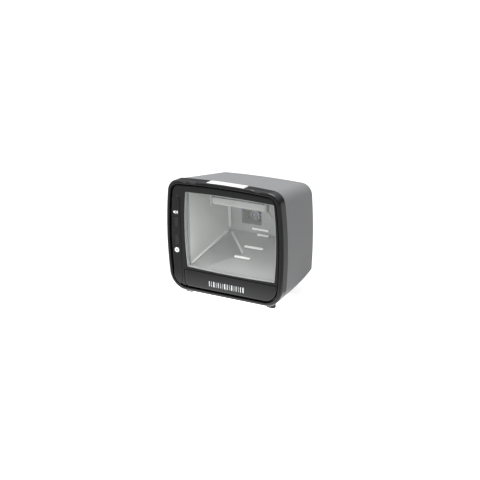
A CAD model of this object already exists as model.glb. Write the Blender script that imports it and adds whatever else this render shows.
"""Looks of an upright on-counter barcode scanner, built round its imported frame."""

import logging
import math
from dataclasses import dataclass, field
from enum import Enum
from typing import Any, Dict, Iterable, List, Tuple, Union

import bpy
from mathutils import Matrix, Vector

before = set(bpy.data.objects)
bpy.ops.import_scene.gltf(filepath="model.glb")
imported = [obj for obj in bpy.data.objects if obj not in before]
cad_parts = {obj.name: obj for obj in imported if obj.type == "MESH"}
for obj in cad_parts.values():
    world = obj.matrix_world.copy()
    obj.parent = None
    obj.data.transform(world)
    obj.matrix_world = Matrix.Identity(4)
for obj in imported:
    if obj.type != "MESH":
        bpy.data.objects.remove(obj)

LOG = logging.getLogger("scanner")
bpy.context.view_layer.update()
Colour = Tuple[float, float, float]
Value = Union["Sock", float]


# ---------------------------------------------------------------- shader maths
class Sock:
    """One output socket of a shader tree, with arithmetic that adds the nodes it needs."""

    def __init__(self, tree: bpy.types.NodeTree, socket: bpy.types.NodeSocket) -> None:
        """Wraps a socket.

        Args:
            tree: the node tree that the socket is in.
            socket: the output socket.
        """
        self.tree = tree
        self.socket = socket

    @property
    def is_value(self) -> bool:
        """Says whether the socket carries a number and not a colour or vector."""
        return self.socket.type == "VALUE"

    def _math(self, operation: str, *values: Value) -> "Sock":
        """Adds a Math node, or a Vector Math node where a colour or vector is involved.

        Args:
            operation: the node's operation.
            values: its inputs in order.

        Returns:
            The result's socket.
        """
        vector = any(isinstance(v, Sock) and not v.is_value for v in values)
        node = self.tree.nodes.new("ShaderNodeVectorMath" if vector else "ShaderNodeMath")
        node.operation = operation
        for slot, value in zip(node.inputs, values):
            if isinstance(value, Sock):
                self.tree.links.new(value.socket, slot)
            else:
                slot.default_value = (value, value, value) if vector else value
        return Sock(self.tree, node.outputs[0])

    def __add__(self, other: Value) -> "Sock":
        """Adds."""
        return self._math("ADD", self, other)

    __radd__ = __add__

    def __sub__(self, other: Value) -> "Sock":
        """Subtracts."""
        return self._math("SUBTRACT", self, other)

    def __rsub__(self, other: Value) -> "Sock":
        """Subtracts this from a number."""
        return self._math("SUBTRACT", other, self)

    def __mul__(self, other: Value) -> "Sock":
        """Multiplies."""
        return self._math("MULTIPLY", self, other)

    __rmul__ = __mul__

    def __truediv__(self, other: Value) -> "Sock":
        """Divides."""
        return self._math("DIVIDE", self, other)

    def __pow__(self, other: Value) -> "Sock":
        """Raises to a power."""
        return self._math("POWER", self, other)

    def above(self, limit: float, soft: float) -> "Sock":
        """Rises from 0 to 1 as the value passes a limit.

        Args:
            limit: where the result starts to rise.
            soft: the width of the rise.

        Returns:
            The mask.
        """
        ramp = (self - limit) / soft
        return ramp._math("MINIMUM", ramp._math("MAXIMUM", ramp, 0.0), 1.0)


class Tree:
    """A node tree under construction."""

    def __init__(self, tree: bpy.types.NodeTree) -> None:
        """Wraps a tree.

        Args:
            tree: the node tree.
        """
        self.tree = tree

    def node(self, kind: str, settings: Dict[str, Any], inputs: Dict[Union[str, int], Any],
             output: Union[str, int] = 0) -> Sock:
        """Adds any node.

        Args:
            kind: the node's type.
            settings: its properties.
            inputs: values or links by socket name or number.
            output: the output that is wanted.

        Returns:
            That output's socket.
        """
        node = self.tree.nodes.new(kind)
        for key, value in settings.items():
            setattr(node, key, value)
        for key, value in inputs.items():
            if isinstance(value, Sock):
                self.tree.links.new(value.socket, node.inputs[key])
            else:
                node.inputs[key].default_value = value
        return Sock(self.tree, node.outputs[output])

    def mix(self, factor: Value, first: Union[Sock, Colour], second: Union[Sock, Colour]) -> Sock:
        """Mixes two colours.

        Args:
            factor: 0 for the first, 1 for the second.
            first: a colour.
            second: a colour.

        Returns:
            The mixed colour.
        """
        node = self.tree.nodes.new("ShaderNodeMix")
        node.data_type = "RGBA"
        for slot, value in ((0, factor), (6, first), (7, second)):
            if isinstance(value, Sock):
                self.tree.links.new(value.socket, node.inputs[slot])
            else:
                node.inputs[slot].default_value = (*value, 1.0) if slot else value
        return Sock(self.tree, node.outputs[2])


class Shader(Tree):
    """One procedural material under construction."""

    def __init__(self, name: str) -> None:
        """Starts a material with a Principled shader and its output.

        Args:
            name: the material's name.
        """
        self.material = bpy.data.materials.new(name)
        self.material.use_nodes = True
        super().__init__(self.material.node_tree)
        self.surface = self.tree.nodes["Principled BSDF"]
        self.place = self.node("ShaderNodeTexCoord", {}, {}, "Object")

    def noise(self, scale: float, detail: float = 2.0, roughness: float = 0.5) -> Sock:
        """Adds smooth noise in the object's own space.

        Args:
            scale: cells per metre.
            detail: octaves.
            roughness: strength of the finer octaves.

        Returns:
            Values from 0 to 1.
        """
        settings = {"noise_dimensions": "3D"}
        inputs = {"Vector": self.place, "Scale": scale, "Detail": detail, "Roughness": roughness}
        return self.node("ShaderNodeTexNoise", settings, inputs)

    def set(self, name: str, value: Any) -> None:
        """Sets or links one socket of the shader.

        Args:
            name: the socket's name.
            value: a number, a colour or a socket.
        """
        slot = self.surface.inputs[name]
        if isinstance(value, Sock):
            self.tree.links.new(value.socket, slot)
        elif isinstance(value, tuple):
            slot.default_value = (*value, 1.0)
        else:
            slot.default_value = value

    def bump(self, height: Sock, distance: float, strength: float = 1.0) -> None:
        """Bends the surface's normal by a height.

        Args:
            height: 0 to 1.
            distance: metres at a height of 1.
            strength: 0 to 1.
        """
        inputs = {"Height": height, "Distance": distance, "Strength": strength}
        self.set("Normal", self.node("ShaderNodeBump", {}, inputs))


# ---------------------------------------------------------------- finishes
@dataclass(frozen=True)
class MouldedPlastic:
    """Matt or satin moulded plastic with a fine spark-eroded texture."""

    colour: Colour
    roughness: float = 0.5
    grain: float = 1800.0
    depth: float = 0.00004
    unevenness: float = 0.06
    specular: float = 0.4

    def material(self, name: str) -> bpy.types.Material:
        """Builds the material.

        Args:
            name: its name.

        Returns:
            The material.
        """
        shader = Shader(name)
        cloud = shader.noise(28.0, 3.0)
        texture = shader.noise(self.grain, 3.0, 0.6)
        dark = tuple(c * (1.0 - self.unevenness) for c in self.colour)
        light = tuple(min(c * (1.0 + self.unevenness), 1.0) for c in self.colour)
        shader.set("Base Color", shader.mix(cloud * 0.7 + texture * 0.3, dark, light))
        shader.set("Roughness", cloud * 0.08 + texture * 0.08 + (self.roughness - 0.08))
        shader.set("Specular IOR Level", self.specular)
        shader.bump(texture, self.depth)
        return shader.material


@dataclass(frozen=True)
class GlossPlastic:
    """Polished moulded plastic with faint flow waves, hairline scratches and dust."""

    colour: Colour
    roughness: float = 0.12
    specular: float = 0.3
    wave: float = 0.00003
    dust: float = 0.25

    def material(self, name: str) -> bpy.types.Material:
        """Builds the material.

        Args:
            name: its name.

        Returns:
            The material.
        """
        shader = Shader(name)
        waves = shader.noise(60.0, 2.0)
        smudge = shader.noise(34.0, 4.0, 0.65)
        specks = shader.noise(5200.0, 0.0).above(0.77, 0.05)
        grey = tuple(c + 0.05 for c in self.colour)
        shader.set("Base Color", shader.mix(specks * self.dust, self.colour, grey))
        shader.set("Roughness", smudge * 0.10 + specks * 0.2 + (self.roughness - 0.04))
        shader.set("Specular IOR Level", self.specular)
        shader.bump(waves, self.wave)
        return shader.material


@dataclass(frozen=True)
class SilveredSheet:
    """Soft mirror sheet: metal with haze that varies over the plate."""

    colour: Colour
    roughness: float = 0.3
    metallic: float = 0.85

    def material(self, name: str) -> bpy.types.Material:
        """Builds the material.

        Args:
            name: its name.

        Returns:
            The material.
        """
        shader = Shader(name)
        haze = shader.noise(45.0, 4.0, 0.6)
        fine = shader.noise(2600.0, 1.0)
        dull = tuple(c * 0.92 for c in self.colour)
        shader.set("Base Color", shader.mix(haze, dull, self.colour))
        shader.set("Metallic", self.metallic)
        shader.set("Roughness", haze * 0.12 + fine * 0.03 + (self.roughness - 0.07))
        shader.bump(haze, 0.00005)
        return shader.material


@dataclass(frozen=True)
class Diffuser:
    """Milky plastic that glows a little of its own."""

    colour: Colour
    glow: float = 0.0
    roughness: float = 0.4

    def material(self, name: str) -> bpy.types.Material:
        """Builds the material.

        Args:
            name: its name.

        Returns:
            The material.
        """
        shader = Shader(name)
        cloud = shader.noise(160.0, 3.0)
        fine = shader.noise(2400.0, 2.0)
        shade = tuple(c * 0.93 for c in self.colour)
        tint = shader.mix(cloud, shade, self.colour)
        shader.set("Base Color", tint)
        shader.set("Emission Color", tint)
        shader.set("Emission Strength", self.glow)
        shader.set("Roughness", fine * 0.1 + (self.roughness - 0.05))
        shader.set("Subsurface Weight", 0.15)
        shader.set("Subsurface Scale", 0.002)
        shader.bump(fine, 0.00002)
        return shader.material


@dataclass(frozen=True)
class ClearGlass:
    """Thin clear pane: mostly see-through, with a gloss reflection and faint smears."""

    colour: Colour = (0.9, 0.92, 0.92)
    opacity: float = 0.06
    roughness: float = 0.03

    def material(self, name: str) -> bpy.types.Material:
        """Builds the material.

        Args:
            name: its name.

        Returns:
            The material.
        """
        shader = Shader(name)
        smear = shader.noise(26.0, 4.0, 0.7)
        shader.set("Base Color", shader.mix(smear, tuple(c * 0.96 for c in self.colour), self.colour))
        shader.set("Alpha", smear * 0.05 + (self.opacity - 0.02))
        shader.set("Roughness", smear * 0.05 + self.roughness)
        shader.set("Specular IOR Level", 0.5)
        return shader.material


@dataclass(frozen=True)
class Metal:
    """Plated or turned metal with fine machining lines and tarnish."""

    colour: Colour
    roughness: float = 0.3

    def material(self, name: str) -> bpy.types.Material:
        """Builds the material.

        Args:
            name: its name.

        Returns:
            The material.
        """
        shader = Shader(name)
        tarnish = shader.noise(240.0, 4.0, 0.6)
        lines = shader.noise(3200.0, 1.0)
        shader.set("Base Color", shader.mix(tarnish, tuple(c * 0.78 for c in self.colour), self.colour))
        shader.set("Metallic", 1.0)
        shader.set("Roughness", tarnish * 0.15 + lines * 0.06 + (self.roughness - 0.1))
        shader.bump(lines, 0.00002)
        return shader.material


@dataclass(frozen=True)
class CircuitBoard:
    """Solder mask over copper, with track lines and bright pads."""

    mask: Colour = (0.012, 0.10, 0.045)
    track: Colour = (0.03, 0.19, 0.08)

    def material(self, name: str) -> bpy.types.Material:
        """Builds the material.

        Args:
            name: its name.

        Returns:
            The material.
        """
        shader = Shader(name)
        cells = shader.node("ShaderNodeTexVoronoi", {"feature": "DISTANCE_TO_EDGE"},
                            {"Vector": shader.place, "Scale": 420.0})
        tracks = 1.0 - cells.above(0.05, 0.03)
        pads = shader.noise(900.0, 0.0).above(0.74, 0.02)
        green = shader.mix(tracks, self.mask, self.track)
        shader.set("Base Color", shader.mix(pads, green, (0.62, 0.60, 0.52)))
        shader.set("Metallic", pads * 0.8)
        shader.set("Roughness", 0.45 - pads * 0.15)
        shader.bump(tracks, 0.00003)
        return shader.material


@dataclass(frozen=True)
class Rubber:
    """Soft rubber or foam with a pitted skin and dusty patches."""

    colour: Colour
    roughness: float = 0.75

    def material(self, name: str) -> bpy.types.Material:
        """Builds the material.

        Args:
            name: its name.

        Returns:
            The material.
        """
        shader = Shader(name)
        dusty = shader.noise(120.0, 4.0, 0.6)
        pits = shader.noise(1500.0, 3.0)
        shader.set("Base Color", shader.mix(dusty, self.colour, tuple(c + 0.02 for c in self.colour)))
        shader.set("Roughness", dusty * 0.12 + (self.roughness - 0.06))
        shader.set("Specular IOR Level", 0.25)
        shader.bump(pits, 0.00008)
        return shader.material


class Finish(Enum):
    """Every finish on the scanner."""

    GLOSS_BLACK = GlossPlastic((0.006, 0.006, 0.0065), roughness=0.14, specular=0.2)
    BUTTON_BLACK = GlossPlastic((0.010, 0.010, 0.0105), roughness=0.22, specular=0.3)
    GREY_HOUSING = MouldedPlastic((0.097, 0.099, 0.101), roughness=0.50, specular=0.25)
    DARK_HOUSING = MouldedPlastic((0.055, 0.056, 0.058), roughness=0.5)
    PALE_MOULDING = MouldedPlastic((0.205, 0.212, 0.205), roughness=0.4, depth=0.00002)
    RIB_MOULDING = MouldedPlastic((0.52, 0.53, 0.52), roughness=0.4, depth=0.00002)
    HOOD_GREY = MouldedPlastic((0.14, 0.145, 0.14), roughness=0.5)
    BLACK_MOULDING = MouldedPlastic((0.02, 0.02, 0.021), roughness=0.55)
    SILVER_PRINT = MouldedPlastic((0.42, 0.43, 0.44), roughness=0.4, depth=0.00001)
    WHITE_PRINT = MouldedPlastic((0.80, 0.81, 0.82), roughness=0.45, depth=0.00001)
    MIRROR = SilveredSheet((0.22, 0.228, 0.22), roughness=0.38, metallic=0.5)
    BRIGHT_MIRROR = SilveredSheet((0.54, 0.55, 0.53), roughness=0.38, metallic=0.5)
    DARK_MIRROR = SilveredSheet((0.18, 0.188, 0.18), roughness=0.32, metallic=0.6)
    STATUS_LIGHT = Diffuser((0.36, 0.36, 0.36), glow=0.0, roughness=0.3)
    LED_DIFFUSER = Diffuser((0.75, 0.76, 0.74), glow=0.2)
    TOP_BAR = Diffuser((0.32, 0.33, 0.32), glow=0.0)
    SILICONE = Diffuser((0.62, 0.62, 0.60), glow=0.0)
    CLEAR_EDGE = GlossPlastic((0.30, 0.31, 0.31), roughness=0.15, specular=0.5)
    WINDOW = ClearGlass()
    LENS = ClearGlass(colour=(0.25, 0.22, 0.38), opacity=0.5, roughness=0.02)
    STEEL = Metal((0.56, 0.57, 0.58))
    BRASS = Metal((0.72, 0.53, 0.24), roughness=0.28)
    GOLD = Metal((0.86, 0.66, 0.30), roughness=0.2)
    ANODISED = Metal((0.30, 0.30, 0.31), roughness=0.35)
    BOARD = CircuitBoard()
    RUBBER = Rubber((0.018, 0.018, 0.018))
    FOAM = Rubber((0.03, 0.03, 0.032), roughness=0.9)
    FLAT_CABLE = MouldedPlastic((0.36, 0.19, 0.05), roughness=0.35)


class Workshop:
    """Makes each finish once and puts it on pieces."""

    def __init__(self) -> None:
        """Starts with no materials made."""
        self.made: Dict[Finish, bpy.types.Material] = {}

    def get(self, finish: Finish) -> bpy.types.Material:
        """Gives a finish's material.

        Args:
            finish: the finish.

        Returns:
            Its material.
        """
        if finish not in self.made:
            self.made[finish] = finish.value.material(finish.name.lower())
        return self.made[finish]

    def dress(self, nodes: Iterable[str], finish: Finish) -> None:
        """Gives CAD nodes a finish.

        Args:
            nodes: the nodes' names.
            finish: the finish.
        """
        for name in nodes:
            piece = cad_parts[name]
            piece.data.materials.clear()
            piece.data.materials.append(self.get(finish))
            LOG.info("%s: %s", name, finish.name.lower())


# ---------------------------------------------------------------- sub-assemblies
@dataclass
class FrontFace:
    """Rim, inner panel, chin, icons, status light and buttons."""

    workshop: Workshop

    def dress(self) -> None:
        """Puts the finishes on."""
        self.workshop.dress(("front_bezel", "front_panel", "chin_cover"), Finish.GLOSS_BLACK)
        self.workshop.dress(("volume_button", "mode_button", "volume_button_plunger",
                             "mode_button_plunger"), Finish.BUTTON_BLACK)
        self.workshop.dress(("speaker_icon", "ring_icon"), Finish.WHITE_PRINT)
        self.workshop.dress(("chin_mark",), Finish.SILVER_PRINT)
        self.workshop.dress(("light_bar",), Finish.STATUS_LIGHT)
        self.workshop.dress(("volume_return_dome", "mode_return_dome"), Finish.SILICONE)


@dataclass
class WindowSet:
    """Glass pane with its frame and gasket."""

    workshop: Workshop

    def dress(self) -> None:
        """Puts the finishes on."""
        self.workshop.dress(("scan_window",), Finish.WINDOW)
        self.workshop.dress(("window_frame",), Finish.CLEAR_EDGE)
        self.workshop.dress(("window_gasket",), Finish.FOAM)


@dataclass
class Optics:
    """Mirror cavity behind the window, with its lights and camera."""

    workshop: Workshop

    def dress(self) -> None:
        """Puts the finishes on."""
        self.workshop.dress(("optical_chassis", "top_bar_brackets", "floor_reflector"),
                            Finish.PALE_MOULDING)
        self.workshop.dress(("corner_ribs",), Finish.RIB_MOULDING)
        self.workshop.dress(("right_mirror", "top_mirror", "back_mirror"), Finish.MIRROR)
        self.workshop.dress(("left_mirror",), Finish.BRIGHT_MIRROR)
        self.workshop.dress(("floor_mirror",), Finish.DARK_MIRROR)
        self.workshop.dress(("led_diffusers",), Finish.LED_DIFFUSER)
        self.workshop.dress(("top_light_bar",), Finish.TOP_BAR)
        self.workshop.dress(("camera_hood",), Finish.HOOD_GREY)
        self.workshop.dress(("lens_holder", "image_sensor"), Finish.BLACK_MOULDING)
        self.workshop.dress(("lens_barrel",), Finish.ANODISED)
        self.workshop.dress(("camera_lens",), Finish.LENS)


@dataclass
class Housing:
    """Rear shell, base plate, stand foot, feet and fasteners."""

    workshop: Workshop

    def dress(self) -> None:
        """Puts the finishes on."""
        self.workshop.dress(("rear_housing",), Finish.GREY_HOUSING)
        self.workshop.dress(("base_plate", "stand_foot", "port_tray", "bezel_clips"),
                            Finish.DARK_HOUSING)
        self.workshop.dress(("front_feet", "rear_feet"), Finish.RUBBER)
        self.workshop.dress(("housing_screws", "bezel_screws", "base_screws"), Finish.STEEL)
        self.workshop.dress(("threaded_inserts",), Finish.BRASS)


@dataclass
class Electronics:
    """Boards, sockets, speaker and cable."""

    workshop: Workshop

    def dress(self) -> None:
        """Puts the finishes on."""
        self.workshop.dress(("main_board", "camera_board", "connector_board", "button_board",
                             "light_bar_board", "led_strip_boards"), Finish.BOARD)
        self.workshop.dress(("board_chips", "tact_switches", "speaker", "interface_port",
                             "auxiliary_port", "power_jack"), Finish.BLACK_MOULDING)
        self.workshop.dress(("capacitors",), Finish.ANODISED)
        self.workshop.dress(("port_contacts",), Finish.GOLD)
        self.workshop.dress(("power_jack_pin",), Finish.STEEL)
        self.workshop.dress(("ribbon_cable",), Finish.FLAT_CABLE)


# ---------------------------------------------------------------- studio
@dataclass
class SoftLight:
    """One rectangular studio light that faces a point on or near the scanner."""

    name: str
    azimuth: float
    elevation: float
    distance: float
    size: Tuple[float, float]
    power: float
    target: Tuple[float, float, float] = (0.0, 0.0, 0.06)

    def place(self) -> None:
        """Adds the light."""
        data = bpy.data.lights.new(self.name, "AREA")
        data.shape = "RECTANGLE"
        data.size, data.size_y = self.size
        data.energy = self.power
        lamp = bpy.data.objects.new(self.name, data)
        bpy.context.scene.collection.objects.link(lamp)
        away = direction(self.azimuth, self.elevation)
        lamp.location = Vector(self.target) + away * self.distance
        lamp.rotation_euler = away.to_track_quat("Z", "Y").to_euler()


def direction(azimuth: float, elevation: float) -> Vector:
    """Direction from the scanner to a viewer.

    Args:
        azimuth: degrees from the front, positive towards the viewer's right.
        elevation: degrees above the table.

    Returns:
        A unit vector.
    """
    turn, rise = math.radians(azimuth), math.radians(elevation)
    return Vector((math.sin(turn) * math.cos(rise), -math.cos(turn) * math.cos(rise), math.sin(rise)))


@dataclass
class Studio:
    """Camera, pale floor and soft lights."""

    azimuth: float = 31.43
    elevation: float = 18.03
    roll: float = -0.93
    distance: float = 1.2619
    aim: Tuple[float, float, float] = (0.0045, -0.0189, 0.0667)
    lens: float = 83.79
    sensor: float = 36.0
    floor_size: float = 16.0
    skyline: Colour = (0.40, 0.40, 0.40)
    horizon: Colour = (0.07, 0.07, 0.072)
    zenith: Colour = (1.0, 1.0, 1.0)
    skyline_fade: Tuple[float, float] = (0.01, 0.16)
    zenith_rise: Tuple[float, float] = (0.30, 0.62)
    sky_strength: float = 2.7
    floor_albedo: float = 0.18
    floor_glow: float = 0.85
    pool_centre: Tuple[float, float, float] = (-0.004, -0.052, 0.0)
    pool_shape: Tuple[float, float, float] = (0.35, 1.0, 0.0)
    pool_core: float = 0.012
    pool_reach: float = 0.058
    pool_glow: float = 5.0
    lights: List[SoftLight] = field(default_factory=lambda: [
        SoftLight("top_light", 10.0, 84.0, 0.7, (0.5, 0.4), 8.0),
        SoftLight("front_light", 0.0, 72.0, 0.6, (0.36, 0.16), 0.3, (0.0, -0.12, 0.0)),
        SoftLight("left_light", -58.0, 24.0, 1.2, (0.22, 0.8), 1.6),
    ])

    def build_camera(self) -> None:
        """Sets the camera up at the viewing angle."""
        data = bpy.data.cameras.new("camera")
        data.lens = self.lens
        data.sensor_width = self.sensor
        camera = bpy.data.objects.new("camera", data)
        bpy.context.scene.collection.objects.link(camera)
        away = direction(self.azimuth, self.elevation)
        turn = away.to_track_quat("Z", "Y").to_matrix().to_4x4()
        roll = Matrix.Rotation(math.radians(self.roll), 4, "Z")
        camera.matrix_world = Matrix.Translation(Vector(self.aim) + away * self.distance) @ turn @ roll
        bpy.context.scene.camera = camera

    def build_floor(self) -> None:
        """Adds the pale floor, which glows, with a brighter pool in front of the scanner."""
        mesh = bpy.data.meshes.new("floor")
        half = self.floor_size / 2
        corners = [(-half, -half, 0), (half, -half, 0), (half, half, 0), (-half, half, 0)]
        mesh.from_pydata(corners, [], [(0, 1, 2, 3)])
        floor = bpy.data.objects.new("floor", mesh)
        bpy.context.scene.collection.objects.link(floor)
        shader = Shader("floor")
        cloud = shader.noise(3.0, 2.0)
        pale = (self.floor_albedo,) * 3
        shader.set("Base Color", shader.mix(cloud, tuple(c * 0.98 for c in pale), pale))
        shader.set("Roughness", 0.9)
        shader.set("Specular IOR Level", 0.1)
        flat = shader.node("ShaderNodeVectorMath", {"operation": "MULTIPLY"},
                           {0: shader.place, 1: self.pool_shape})
        away = shader.node("ShaderNodeVectorMath", {"operation": "DISTANCE"},
                           {0: flat, 1: self.pool_centre}, "Value")
        pool = 1.0 - away.above(self.pool_core, self.pool_reach)
        shader.set("Emission Color", shader.mix(pool, (1.0, 1.0, 1.0), (self.pool_glow,) * 3))
        shader.set("Emission Strength", self.floor_glow)
        mesh.materials.append(shader.material)

    def build_world(self) -> None:
        """Sets a surround that is pale at the skyline, dark above it and bright overhead."""
        world = bpy.data.worlds.new("surround")
        bpy.context.scene.world = world
        world.use_nodes = True
        sky = Tree(world.node_tree)
        ray = sky.node("ShaderNodeTexCoord", {}, {}, "Generated")
        height = sky.node("ShaderNodeSeparateXYZ", {}, {0: ray}, "Z")
        background = world.node_tree.nodes["Background"]
        low = sky.mix(height.above(*self.skyline_fade), self.skyline, self.horizon)
        tint = sky.mix(height.above(*self.zenith_rise), low, self.zenith)
        sky.tree.links.new(tint.socket, background.inputs["Color"])
        background.inputs["Strength"].default_value = self.sky_strength

    def build(self) -> None:
        """Builds the whole studio."""
        self.build_camera()
        self.build_floor()
        self.build_world()
        for light in self.lights:
            light.place()
        bpy.context.scene.view_settings.view_transform = "Standard"


def main() -> None:
    """Builds the studio and every sub-assembly in order."""
    logging.basicConfig(level=logging.INFO, format="%(name)s %(message)s")
    workshop = Workshop()
    Studio().build()
    for assembly in (Housing(workshop), FrontFace(workshop), WindowSet(workshop), Optics(workshop),
                     Electronics(workshop)):
        assembly.dress()


if __name__ == "__main__":
    main()
